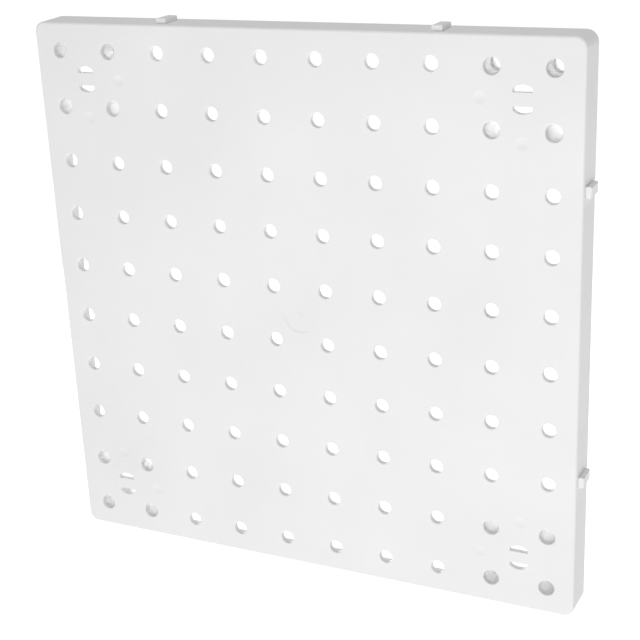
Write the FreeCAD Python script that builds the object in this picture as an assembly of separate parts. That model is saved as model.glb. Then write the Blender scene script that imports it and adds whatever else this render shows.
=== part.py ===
"""Square pegboard wall tile: a shallow moulded tray with a grid of peg holes.

The origin is the centre of the plane of the rear rim, which lies on the wall.
+X is to the viewer's right, +Y points into the wall and +Z is up, so the
perforated face looks along -Y. All sizes are in millimetres.
"""
import FreeCAD, Part

import math
import os

V = FreeCAD.Vector

# ---- the tile --------------------------------------------------------------
hole_pitch = 25.4            # peg holes stand 1 inch apart both ways
tile_width = 254.0           # along X, over the rear rim
tile_height = 254.0          # along Z, over the rear rim
tile_depth = 16.0            # front face to wall
face_thickness = 2.5
skirt_thickness = 2.0        # side walls, at the rear rim
side_draft = 0.4             # each side leans in by this much at the face
corner_radius = 5.0
inner_corner_radius = 3.2
front_edge_radius = 1.0

# ---- holes in the face -----------------------------------------------------
peg_hole_diameter = 6.35     # for 1/4 inch hooks
screw_hole_diameter = 7.1    # the four holes of each corner block
hole_edge_radius = 0.4

# ---- pair of D-shaped slots in the middle of each corner block --------------
slot_pair_width = 8.2
slot_pair_height = 11.8      # over both slots
slot_bar_height = 5.5        # bar of the face left between the two

# ---- marks of the moulding on the front face -------------------------------
dimple_diameter = 5.5
dimple_depth = 0.35
dimple_offset = 17.5         # from a corner block's middle towards the tile's middle
gate_mark_diameter = 16.0
gate_mark_depth = 0.15
gate_nib_diameter = 2.4
gate_nib_height = 0.10

# ---- sockets behind the dimples, for the spacers' pegs ---------------------
socket_outer_diameter = 8.0
socket_height = 5.0
peg_diameter = 4.0
peg_clearance = 0.10         # radial
peg_end_gap = 0.5

# ---- corner spacers, which hold the face off the wall ----------------------
sleeve_wall = 1.6
web_thickness = 1.6
web_front_gap = 2.0          # from the back of the face to the webs
web_rear_gap = 3.0           # from the webs to the wall
sleeve_mouth_chamfer = 0.3   # round the front end of each sleeve's bore

# ---- soft rings that grip the screws, in two sleeves of each corner ---------
ring_rear_gap = 3.2          # from the ring to the wall plane
ring_length = 2.4
ring_thickness = 0.8
ring_fit = 0.02              # all round the ring, in its groove

# ---- clips that stand out of two sides and join neighbouring tiles ---------
clip_width = 4.6             # along the tile's edge
clip_rear_gap = 3.2          # from the clip to the wall plane
clip_reach = 2.1             # out of the side, at the rear rim's plane
clip_hole_line = 3           # counted from the tile's edge
clip_offset = 2.0            # from that line of holes, towards +X or +Z
clip_edge_radius = 0.6
clip_clearance = 0.15
clip_flange_margin = 2.0
clip_flange_thickness = 1.4
clip_front_gap = 0.1         # from the back of the face to the clip
socket_slot_clearance = 0.25 # round a neighbour's clip, in the left and bottom sides

# ---- gussets between the face and the side walls ---------------------------
gusset_thickness = 1.4
gusset_reach = 5.0
gusset_height = 8.0

# ---- ejector pin marks inside the tray -------------------------------------
ejector_mark_diameter = 6.0
ejector_mark_depth = 0.2

# ---- how the solids are put together ---------------------------------------
cut_past = 1.0               # cuts run this far past the surface they leave by
root_overlap = 0.5           # fused features reach this far into what carries them
socket_side_gap = 0.5        # radial, from a socket to the spacer round it
match = 1e-3                 # lengths closer than this are the same
LONG = 4.0 * tile_depth      # longer than anything a cut has to go through

face_front = -tile_depth
face_back = face_front + face_thickness


def hole_lines(size):
    """Places of the lines of holes along one side, centred on the tile."""
    count = int(size / hole_pitch + match)
    first = -(count - 1) * hole_pitch / 2.0
    return [first + i * hole_pitch for i in range(count)]


columns = hole_lines(tile_width)
rows = hole_lines(tile_height)


def corner_blocks():
    """(name, x, z, towards the middle in x, in z) of each 2 by 2 corner block."""
    left = (columns[0] + columns[1]) / 2.0
    right = (columns[-1] + columns[-2]) / 2.0
    low = (rows[0] + rows[1]) / 2.0
    high = (rows[-1] + rows[-2]) / 2.0
    return [
        ("top_left", left, high, 1, -1),
        ("top_right", right, high, -1, -1),
        ("bottom_left", left, low, 1, 1),
        ("bottom_right", right, low, -1, 1),
    ]


def in_corner_block(i, k):
    near_side = i < 2 or i >= len(columns) - 2
    near_end = k < 2 or k >= len(rows) - 2
    return near_side and near_end


def rounded_rectangle(half_x, half_z, radius, y):
    """Closed wire in the plane of constant y."""
    edges = []
    middles = [
        (half_x - radius, half_z - radius, 0),
        (-half_x + radius, half_z - radius, 90),
        (-half_x + radius, -half_z + radius, 180),
        (half_x - radius, -half_z + radius, 270),
    ]

    def on_arc(middle, degrees):
        turn = math.radians(degrees)
        return V(middle[0] + radius * math.cos(turn), y, middle[1] + radius * math.sin(turn))

    for here, after in zip(middles, middles[1:] + middles[:1]):
        start = on_arc(here, here[2])
        halfway = on_arc(here, here[2] + 45)
        end = on_arc(here, here[2] + 90)
        edges.append(Part.Arc(start, halfway, end).toShape())
        edges.append(Part.LineSegment(end, on_arc(after, after[2])).toShape())
    return Part.Wire(edges)


def drafted_block(half_x, half_z, radius, draft, rear, front):
    """Rounded block between two planes, smaller by the draft at its front."""
    wires = [
        rounded_rectangle(half_x, half_z, radius, rear),
        rounded_rectangle(half_x - draft, half_z - draft, radius - draft, front),
    ]
    return Part.makeLoft(wires, True, True)


def rod(diameter, x, z, y_from, y_to):
    """Cylinder along Y."""
    return Part.makeCylinder(diameter / 2.0, y_to - y_from, V(x, y_from, z), V(0, 1, 0))


def block(x_from, x_to, y_from, y_to, z_from, z_to):
    corner = V(min(x_from, x_to), min(y_from, y_to), min(z_from, z_to))
    return Part.makeBox(abs(x_to - x_from), abs(y_to - y_from), abs(z_to - z_from), corner)


def edges_of(shape, wanted):
    return [edge for edge in shape.Edges if wanted(edge)]


def lies_at_y(edge, y):
    box = edge.BoundBox
    return abs(box.YMin - y) < match and abs(box.YMax - y) < match


def export(shape, name):
    shape.exportStep(os.path.join("parts", name + ".step"))


# ---- the clips' places, shared by the clips and the slots -----------------
def clip_places(lines):
    """Middles of the two clips along one side."""
    return [lines[clip_hole_line - 1] + clip_offset, lines[-clip_hole_line] + clip_offset]


clip_front = face_back + clip_front_gap
clip_rear = -clip_rear_gap


def clip_slot(axis, side, middle, clearance):
    """Hole for a clip through the side wall on that side of the tile."""
    half = clip_width / 2.0 + clearance
    size = tile_width if axis == "x" else tile_height
    outer = side * (size / 2.0 + cut_past)
    inner = side * (size / 2.0 - skirt_thickness - side_draft - cut_past)
    front = clip_front - min(clearance, clip_front_gap)
    rear = clip_rear + clearance
    if axis == "x":
        return block(inner, outer, front, rear, middle - half, middle + half)
    return block(middle - half, middle + half, front, rear, inner, outer)


def all_clip_slots():
    """Slots for the tile's own clips, and matching ones for its neighbours' clips."""
    slots = []
    for z in clip_places(rows):
        slots.append(clip_slot("x", 1, z, clip_clearance))
        slots.append(clip_slot("x", -1, z, socket_slot_clearance))
    for x in clip_places(columns):
        slots.append(clip_slot("z", 1, x, clip_clearance))
        slots.append(clip_slot("z", -1, x, socket_slot_clearance))
    return slots


# ---- panel -----------------------------------------------------------------
def slot_pair(x, z):
    """Two D-shaped slots: a circle with its sides cut off straight and a bar left across it."""
    front = face_front - cut_past
    rear = face_back + cut_past
    half_width = slot_pair_width / 2.0
    half_bar = slot_bar_height / 2.0
    disc = rod(slot_pair_height, x, z, front, rear)
    sides = block(x - half_width, x + half_width, front, rear, z - slot_pair_height, z + slot_pair_height)
    bar = block(x - slot_pair_width, x + slot_pair_width, front, rear, z - half_bar, z + half_bar)
    return disc.common(sides).cut(bar)


def dimple(x, z):
    """Shallow round dish in the front face."""
    half = dimple_diameter / 2.0
    radius = (half * half + dimple_depth * dimple_depth) / (2.0 * dimple_depth)
    return Part.makeSphere(radius, V(x, face_front + dimple_depth - radius, z))


def peg_places(block_place):
    """Middles of a spacer's two locating pegs, behind the dimples."""
    name, x, z, in_x, in_z = block_place
    return [(x + in_x * dimple_offset, z), (x, z + in_z * dimple_offset)]


def gusset(along, side, place):
    """Triangle on the inside of one side wall; along is the axis the wall runs along."""
    half = gusset_thickness / 2.0
    size = tile_width if along == "z" else tile_height
    wall = side * (size / 2.0 - skirt_thickness + root_overlap)
    toe = side * (size / 2.0 - skirt_thickness - gusset_reach)
    root = face_back - root_overlap
    outline = [(wall, root), (toe, root), (wall, root + gusset_height)]
    if along == "z":
        corners = [V(across, y, place - half) for across, y in outline]
        run = V(0, 0, gusset_thickness)
    else:
        corners = [V(place - half, y, across) for across, y in outline]
        run = V(gusset_thickness, 0, 0)
    return Part.Face(Part.makePolygon(corners + corners[:1])).extrude(run)


def gussets():
    """Gussets midway between lines of holes, clear of the corner blocks."""
    made = []
    for along, lines in (("z", rows), ("x", columns)):
        between = [(a + b) / 2.0 for a, b in zip(lines, lines[1:])]
        for place in between[2:-2]:
            made.append(gusset(along, -1, place))
            made.append(gusset(along, 1, place))
    return made


def peg_and_screw_holes():
    holes = []
    for i, x in enumerate(columns):
        for k, z in enumerate(rows):
            diameter = screw_hole_diameter if in_corner_block(i, k) else peg_hole_diameter
            holes.append(rod(diameter, x, z, face_front - cut_past, face_back + cut_past))
    return holes


def is_hole_rim(edge):
    if not lies_at_y(edge, face_front) or not isinstance(edge.Curve, Part.Circle):
        return False
    return abs(edge.Length - 2 * math.pi * edge.Curve.Radius) < match


def gate_mark():
    """Shallow round recess where the moulding was filled, with a low nib in its middle."""
    recess = rod(gate_mark_diameter, 0, 0, face_front - cut_past, face_front + gate_mark_depth)
    nib = rod(gate_nib_diameter, 0, 0, face_front + gate_mark_depth - gate_nib_height, face_back)
    return recess.cut(nib)


def ejector_marks():
    """Round marks on the back of the face, between every second pair of hole lines."""
    marks = []
    for i in range(2, len(columns) - 1, 2):
        for k in range(2, len(rows) - 1, 2):
            x = (columns[i] + columns[i - 1]) / 2.0
            z = (rows[k] + rows[k - 1]) / 2.0
            marks.append(rod(ejector_mark_diameter, x, z,
                             face_back - ejector_mark_depth, face_back + cut_past))
    return marks


def make_panel():
    half_x = tile_width / 2.0
    half_z = tile_height / 2.0
    outer = drafted_block(half_x, half_z, corner_radius, side_draft, 0.0, face_front)
    outer = outer.makeFillet(front_edge_radius, edges_of(outer, lambda e: lies_at_y(e, face_front)))
    hollow = drafted_block(half_x - skirt_thickness, half_z - skirt_thickness,
                           inner_corner_radius, side_draft, 0.0, face_back)
    panel = outer.cut(hollow).fuse(gussets())

    sockets = []
    cuts = all_clip_slots() + ejector_marks() + [gate_mark()]
    for place in corner_blocks():
        cuts.append(slot_pair(place[1], place[2]))
        for x, z in peg_places(place):
            sockets.append(rod(socket_outer_diameter, x, z,
                               face_back - root_overlap, face_back + socket_height))
            cuts.append(rod(peg_diameter + 2 * peg_clearance, x, z, face_back, LONG))
            cuts.append(dimple(x, z))
    panel = panel.fuse(sockets).cut(peg_and_screw_holes())
    panel = panel.makeFillet(hole_edge_radius, edges_of(panel, is_hole_rim))
    return panel.cut(cuts)


# ---- corner spacers --------------------------------------------------------
sleeve_diameter = screw_hole_diameter + 2 * sleeve_wall
web_front = face_back + web_front_gap
web_rear = -web_rear_gap
ring_rear = -ring_rear_gap
ring_front = ring_rear - ring_length
ring_diameter = screw_hole_diameter + 2 * ring_thickness


def sleeve_places(place):
    """The four sleeves of a corner, in order round it."""
    name, x, z, in_x, in_z = place
    half = hole_pitch / 2.0
    return [(x - half, z - half), (x + half, z - half), (x + half, z + half), (x - half, z + half)]


def ringed_sleeves(place):
    """The two sleeves nearest the tile's top or bottom edge, which hold soft rings."""
    name, x, z, in_x, in_z = place
    return [(sx, sz) for sx, sz in sleeve_places(place) if (sz - z) * in_z < 0]


def web(x_from, z_from, x_to, z_to):
    """Upright wall between two places, flush with neither end's outer skin."""
    length = math.hypot(x_to - x_from, z_to - z_from)
    along = math.degrees(math.atan2(z_to - z_from, x_to - x_from))
    wall = block(0, length, web_front, web_rear, -web_thickness / 2, web_thickness / 2)
    wall.rotate(V(0, 0, 0), V(0, -1, 0), along)
    wall.translate(V(x_from, 0, z_from))
    return wall


def sleeve_bore(x, z):
    """Bore of a sleeve, with a chamfered mouth behind the face."""
    radius = screw_hole_diameter / 2.0
    bore = rod(screw_hole_diameter, x, z, face_back - cut_past, LONG)
    mouth = Part.makeCone(radius + sleeve_mouth_chamfer, radius, sleeve_mouth_chamfer,
                          V(x, face_back, z), V(0, 1, 0))
    return bore.fuse(mouth)


def peg_post(px, pz):
    """Post behind a socket of the panel, with the peg that goes into it."""
    boss = rod(peg_diameter + 2 * web_thickness, px, pz, face_back + socket_height, web_rear)
    peg = rod(peg_diameter, px, pz, face_back + peg_end_gap, web_rear)
    return boss.fuse(peg)


def room_for_socket(px, pz):
    """Space that the spacer leaves round a socket of the panel."""
    front = face_back
    rear = face_back + socket_height
    room = rod(socket_outer_diameter + 2 * socket_side_gap, px, pz, front, rear)
    return room.cut(rod(peg_diameter, px, pz, front, rear))


def make_spacer(place):
    """Four sleeves joined by webs in a square, with two pegs on the sides towards the tile's middle."""
    name, x, z, in_x, in_z = place
    half = hole_pitch / 2.0
    sleeves = sleeve_places(place)
    solids = []
    cuts = []
    for (sx, sz), (next_x, next_z) in zip(sleeves, sleeves[1:] + sleeves[:1]):
        solids.append(web(sx, sz, next_x, next_z))
        cuts.append(sleeve_bore(sx, sz))
        solids.append(rod(sleeve_diameter, sx, sz, face_back, 0.0))
    for sx, sz in ringed_sleeves(place):
        cuts.append(rod(ring_diameter + 2 * ring_fit, sx, sz, ring_front - ring_fit, ring_rear + ring_fit))
    webs_beside = [(x + in_x * half, z), (x, z + in_z * half)]
    for (px, pz), (wx, wz) in zip(peg_places(place), webs_beside):
        solids.append(peg_post(px, pz))
        solids.append(web(px, pz, wx, wz))
        cuts.append(room_for_socket(px, pz))
    return solids[0].fuse(solids[1:]).cut(cuts).removeSplitter()


def make_rings(place):
    """Soft rings, each held in a groove round the bore of a sleeve."""
    rings = []
    for x, z in ringed_sleeves(place):
        bore = rod(screw_hole_diameter, x, z, -LONG, LONG)
        rings.append(rod(ring_diameter, x, z, ring_front, ring_rear).cut(bore))
    return Part.makeCompound(rings)


# ---- joining clips ---------------------------------------------------------
def make_clip(axis, middle):
    """Rounded key through a side wall, with a flange that bears on the wall's inside."""
    size = tile_width if axis == "x" else tile_height
    half = clip_width / 2.0
    tip = size / 2.0 + clip_reach
    wall_inside = size / 2.0 - skirt_thickness - side_draft
    key = block(wall_inside - clip_flange_thickness, tip, clip_front, clip_rear, -half, half)
    key = key.makeFillet(clip_edge_radius, edges_of(key, lambda e: e.BoundBox.XMin > tip - match))
    flange = block(wall_inside - clip_flange_thickness, wall_inside, clip_front,
                   clip_rear + clip_flange_margin, -half - clip_flange_margin, half + clip_flange_margin)
    clip = key.fuse(flange).removeSplitter()
    if axis == "z":
        clip.rotate(V(0, 0, 0), V(0, 1, 0), -90)
        clip.translate(V(middle, 0, 0))
    else:
        clip.translate(V(0, 0, middle))
    return clip


def main():
    os.makedirs("parts", exist_ok=True)
    export(make_panel(), "panel")
    for place in corner_blocks():
        export(make_spacer(place), "spacer_" + place[0])
        export(make_rings(place), "grip_rings_" + place[0])
    for where, z in zip(("lower", "upper"), clip_places(rows)):
        export(make_clip("x", z), "clip_right_" + where)
    for where, x in zip(("left", "right"), clip_places(columns)):
        export(make_clip("z", x), "clip_top_" + where)


main()
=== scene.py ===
"""Looks for the square pegboard wall tile: materials, light, floor and camera.

Everything is in metres, in the part's own frame: the origin is the centre of the
plane of the rear rim, +X is to the viewer's right, +Y points into the wall and
+Z is up, so the perforated face looks along -Y.
"""
import math

import bpy
from mathutils import Matrix, Vector


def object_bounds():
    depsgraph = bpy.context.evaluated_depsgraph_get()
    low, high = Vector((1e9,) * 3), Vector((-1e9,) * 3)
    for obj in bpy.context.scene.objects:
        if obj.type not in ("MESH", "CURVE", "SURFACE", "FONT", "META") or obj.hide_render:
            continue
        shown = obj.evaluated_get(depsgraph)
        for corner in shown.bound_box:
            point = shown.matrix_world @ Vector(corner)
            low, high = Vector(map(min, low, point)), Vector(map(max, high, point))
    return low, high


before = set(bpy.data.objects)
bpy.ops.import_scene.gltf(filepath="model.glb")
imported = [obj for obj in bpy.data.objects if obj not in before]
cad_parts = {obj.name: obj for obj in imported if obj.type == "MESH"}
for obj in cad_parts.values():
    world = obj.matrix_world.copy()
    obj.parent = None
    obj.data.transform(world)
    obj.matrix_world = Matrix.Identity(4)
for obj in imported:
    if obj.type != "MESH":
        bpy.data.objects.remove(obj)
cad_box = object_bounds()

MM = 0.001

# ---- the camera -------------------------------------------------------------
camera_place = Vector((257.6, -524.55, 209.9)) * MM
camera_azimuth = 25.98       # degrees to the right of straight ahead of the face
camera_elevation = 20.42     # degrees that the view looks down
camera_roll = -2.62          # degrees about the line of sight
camera_lens = 76.8           # mm, on a sensor 36 mm wide
sensor_width = 36.0

# ---- the room ---------------------------------------------------------------
floor_drop = 0.30            # from the tile's lower edge to the floor
floor_size = 12.0
world_strength = 0.42
floor_glow = 0.78            # keeps the floor white behind the holes
edge_softening = 0.12 * MM   # small round on the edges that CAD leaves sharp
softening_angle = math.radians(50)
scatter_length = 4.0 * MM    # how far light travels inside the thin plastic

# ---- the lamps: places in metres, sides in metres, powers in watts ----------
tile_centre = (0.0, 0.0, 0.0)
key_place = (0.12, -0.55, -0.02)
key_aim = (0.02, 0.0, 0.0)
key_side = 0.3
key_power = 0.85
top_place = (0.0, 0.1, 1.2)
top_aim = (0.0, 0.0, 0.127)
top_side = 0.8
top_power = 3.6
back_place = (-0.9, 1.2, -0.15)
back_side = 0.4
back_power = 7.0
sleeve_power = 22.0          # a second lamp at the same place, for the spacers only

# ---- the surfaces: noise scales are per metre -------------------------------
cloud_scale = 18.0           # faint clouding of the colour
patch_scale = 60.0           # patches of gloss
wave_scale = 35.0            # slow waviness of a moulded face
wave_height = 0.05 * MM
grain_scale = 2600.0         # spark-eroded grain
panel_grain = 0.012 * MM
fitting_grain = 0.006 * MM   # finer, on the spacers and clips
plastic_ior = 1.49
plastic_specular = 0.4
gloss_variation = 0.05
bloom_scale = 400.0          # talc bloom on the rubber
rubber_grain_scale = 1800.0
rubber_grain = 0.02 * MM


# ---- node tools -------------------------------------------------------------
def new_material(name):
    """(material, its nodes, its links, its Principled shader)"""
    material = bpy.data.materials.new(name)
    material.use_nodes = True
    nodes = material.node_tree.nodes
    return material, nodes, material.node_tree.links, nodes["Principled BSDF"]


def noise(nodes, links, scale, detail=2.0, roughness=0.5):
    """Noise in the part's own metres, so that its grain keeps its real size."""
    place = nodes.new("ShaderNodeTexCoord")
    texture = nodes.new("ShaderNodeTexNoise")
    texture.inputs["Scale"].default_value = scale
    texture.inputs["Detail"].default_value = detail
    texture.inputs["Roughness"].default_value = roughness
    links.new(place.outputs["Object"], texture.inputs["Vector"])
    return texture.outputs["Fac"]


def spread(nodes, links, value, low, high, from_low=0.3, from_high=0.7):
    """A noise value spread over low to high."""
    scaled = nodes.new("ShaderNodeMapRange")
    scaled.inputs["From Min"].default_value = from_low
    scaled.inputs["From Max"].default_value = from_high
    scaled.inputs["To Min"].default_value = low
    scaled.inputs["To Max"].default_value = high
    links.new(value, scaled.inputs["Value"])
    return scaled.outputs["Result"]


def between(nodes, links, amount, first, second):
    """A colour between two colours."""
    mix = nodes.new("ShaderNodeMix")
    mix.data_type = "RGBA"
    mix.inputs["A"].default_value = (*first, 1.0)
    mix.inputs["B"].default_value = (*second, 1.0)
    links.new(amount, mix.inputs["Factor"])
    return mix.outputs["Result"]


def bump(nodes, links, height, distance, strength=1.0, under=None):
    """Relief of that height in metres, on top of another one if given."""
    relief = nodes.new("ShaderNodeBump")
    relief.inputs["Strength"].default_value = strength
    relief.inputs["Distance"].default_value = distance
    links.new(height, relief.inputs["Height"])
    if under is not None:
        links.new(under, relief.inputs["Normal"])
    return relief.outputs["Normal"]


# ---- materials --------------------------------------------------------------
def moulded_plastic(name, light, dark, roughness, grain, glow_through=0.0):
    """Satin moulded plastic: spark-eroded grain, slow waviness and faint clouding."""
    material, nodes, links, shader = new_material(name)
    shader.inputs["Subsurface Weight"].default_value = glow_through
    shader.inputs["Subsurface Radius"].default_value = (1.0, 1.0, 1.0)
    shader.inputs["Subsurface Scale"].default_value = scatter_length
    clouds = spread(nodes, links, noise(nodes, links, cloud_scale, 3.0), 0.0, 1.0)
    links.new(between(nodes, links, clouds, light, dark), shader.inputs["Base Color"])
    patches = noise(nodes, links, patch_scale, 4.0)
    gloss = spread(nodes, links, patches, roughness - gloss_variation, roughness + gloss_variation)
    links.new(gloss, shader.inputs["Roughness"])
    shader.inputs["IOR"].default_value = plastic_ior
    shader.inputs["Specular IOR Level"].default_value = plastic_specular
    waves = bump(nodes, links, noise(nodes, links, wave_scale, 1.0), wave_height, 0.5)
    fine = bump(nodes, links, noise(nodes, links, grain_scale, 3.0, 0.6), grain, 0.6, waves)
    links.new(fine, shader.inputs["Normal"])
    return material


def rubber_greyed_for_shade(name):
    """Matt soft rubber with a fine talc bloom; its grey is painted shade, darker than the plastics so
    that the rear ends of the spacer bores read as a shaded ring.
    """
    material, nodes, links, shader = new_material(name)
    bloom = spread(nodes, links, noise(nodes, links, bloom_scale, 4.0), 0.0, 1.0)
    # painted shade: this grey is kept below the plastics' so the rings at the rear of the bores show
    # as a darker, shaded ring
    colour = between(nodes, links, bloom, (0.70, 0.705, 0.71), (0.76, 0.765, 0.77))
    links.new(colour, shader.inputs["Base Color"])
    shader.inputs["Roughness"].default_value = 0.75
    shader.inputs["Sheen Weight"].default_value = 0.15
    fine = bump(nodes, links, noise(nodes, links, rubber_grain_scale, 3.0), rubber_grain)
    links.new(fine, shader.inputs["Normal"])
    return material


panel_plastic = moulded_plastic(
    "panel_plastic", light=(0.872, 0.872, 0.872), dark=(0.835, 0.835, 0.835),
    roughness=0.52, grain=panel_grain)
spacer_plastic = moulded_plastic(
    "spacer_plastic", light=(0.975, 0.975, 0.97), dark=(0.965, 0.965, 0.96),
    roughness=0.45, grain=fitting_grain, glow_through=0.8)
clip_plastic = moulded_plastic(
    "clip_plastic", light=(0.88, 0.882, 0.885), dark=(0.865, 0.868, 0.872),
    roughness=0.42, grain=fitting_grain)
# rubber rings behind the spacers; their grey is painted shade at the rear end of the bores, the talc
# bloom is the rubber's own random tone
ring_rubber = rubber_greyed_for_shade("ring_rubber")


def material_for(node):
    for start, material in (("panel", panel_plastic), ("spacer", spacer_plastic),
                            ("grip_rings", ring_rubber), ("clip", clip_plastic)):
        if node.startswith(start):
            return material
    raise ValueError("no material for " + node)


def finish_node(name, piece):
    """Gives a CAD node its material and softens its sharp edges."""
    material = material_for(name)
    piece.data.materials.clear()
    piece.data.materials.append(material)
    bevel = piece.modifiers.new("softened_edges", "BEVEL")
    bevel.width = edge_softening
    bevel.segments = 2
    bevel.limit_method = "ANGLE"
    bevel.angle_limit = softening_angle
    bevel.harden_normals = True


for node_name, node_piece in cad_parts.items():
    finish_node(node_name, node_piece)


# ---- the room, the light and the camera ------------------------------------
def pale_floor():
    material, nodes, links, shader = new_material("floor_paint")
    tone = spread(nodes, links, noise(nodes, links, 3.0, 2.0), 0.0, 1.0)
    colour = between(nodes, links, tone, (0.61, 0.61, 0.61), (0.59, 0.59, 0.59))
    links.new(colour, shader.inputs["Base Color"])
    shader.inputs["Roughness"].default_value = 0.9
    shader.inputs["Emission Color"].default_value = (1.0, 1.0, 1.0, 1.0)
    shader.inputs["Emission Strength"].default_value = floor_glow
    half = floor_size / 2.0
    low = cad_box[0][2] - floor_drop
    corners = [(-half, -half, low), (half, -half, low), (half, half, low), (-half, half, low)]
    mesh = bpy.data.meshes.new("floor")
    mesh.from_pydata(corners, [], [(0, 1, 2, 3)])
    floor = bpy.data.objects.new("floor", mesh)
    floor.data.materials.append(material)
    bpy.context.scene.collection.objects.link(floor)


def soft_light(name, place, aim, side, power):
    """Square lamp that is turned towards a point and is not seen itself."""
    lamp = bpy.data.lights.new(name, "AREA")
    lamp.size = side
    lamp.energy = power
    holder = bpy.data.objects.new(name, lamp)
    holder.visible_camera = False
    holder.location = place
    holder.rotation_euler = (Vector(aim) - Vector(place)).to_track_quat("-Z", "Y").to_euler()
    bpy.context.scene.collection.objects.link(holder)
    return holder


def shine_only_on(holder, pieces):
    """Keeps a lamp's light to some of the pieces, as no real lamp does."""
    lit = bpy.data.collections.new(holder.name + "_shines_on")
    for piece in pieces:
        lit.objects.link(piece)
    holder.light_linking.receiver_collection = lit


def white_room():
    world = bpy.data.worlds.new("white_room")
    world.use_nodes = True
    sky = world.node_tree.nodes["Background"]
    sky.inputs["Color"].default_value = (1.0, 1.0, 1.0, 1.0)
    sky.inputs["Strength"].default_value = world_strength
    bpy.context.scene.world = world


def add_camera():
    lens = bpy.data.cameras.new("camera")
    lens.lens = camera_lens
    lens.sensor_width = sensor_width
    lens.clip_start = 0.01
    lens.clip_end = 50.0
    turn = (Matrix.Rotation(math.radians(camera_azimuth), 4, "Z")
            @ Matrix.Rotation(math.radians(90.0 - camera_elevation), 4, "X")
            @ Matrix.Rotation(math.radians(camera_roll), 4, "Z"))
    camera = bpy.data.objects.new("camera", lens)
    camera.matrix_world = Matrix.Translation(camera_place) @ turn
    bpy.context.scene.collection.objects.link(camera)
    bpy.context.scene.camera = camera


pale_floor()
white_room()
soft_light("key_light", key_place, key_aim, key_side, key_power)
soft_light("top_light", top_place, top_aim, top_side, top_power)
soft_light("back_light", back_place, tile_centre, back_side, back_power)
sleeve_light = soft_light("sleeve_light", back_place, tile_centre, back_side, sleeve_power)
shine_only_on(sleeve_light, [piece for name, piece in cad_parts.items() if name.startswith("spacer")])
add_camera()
bpy.context.scene.view_settings.view_transform = "Standard"
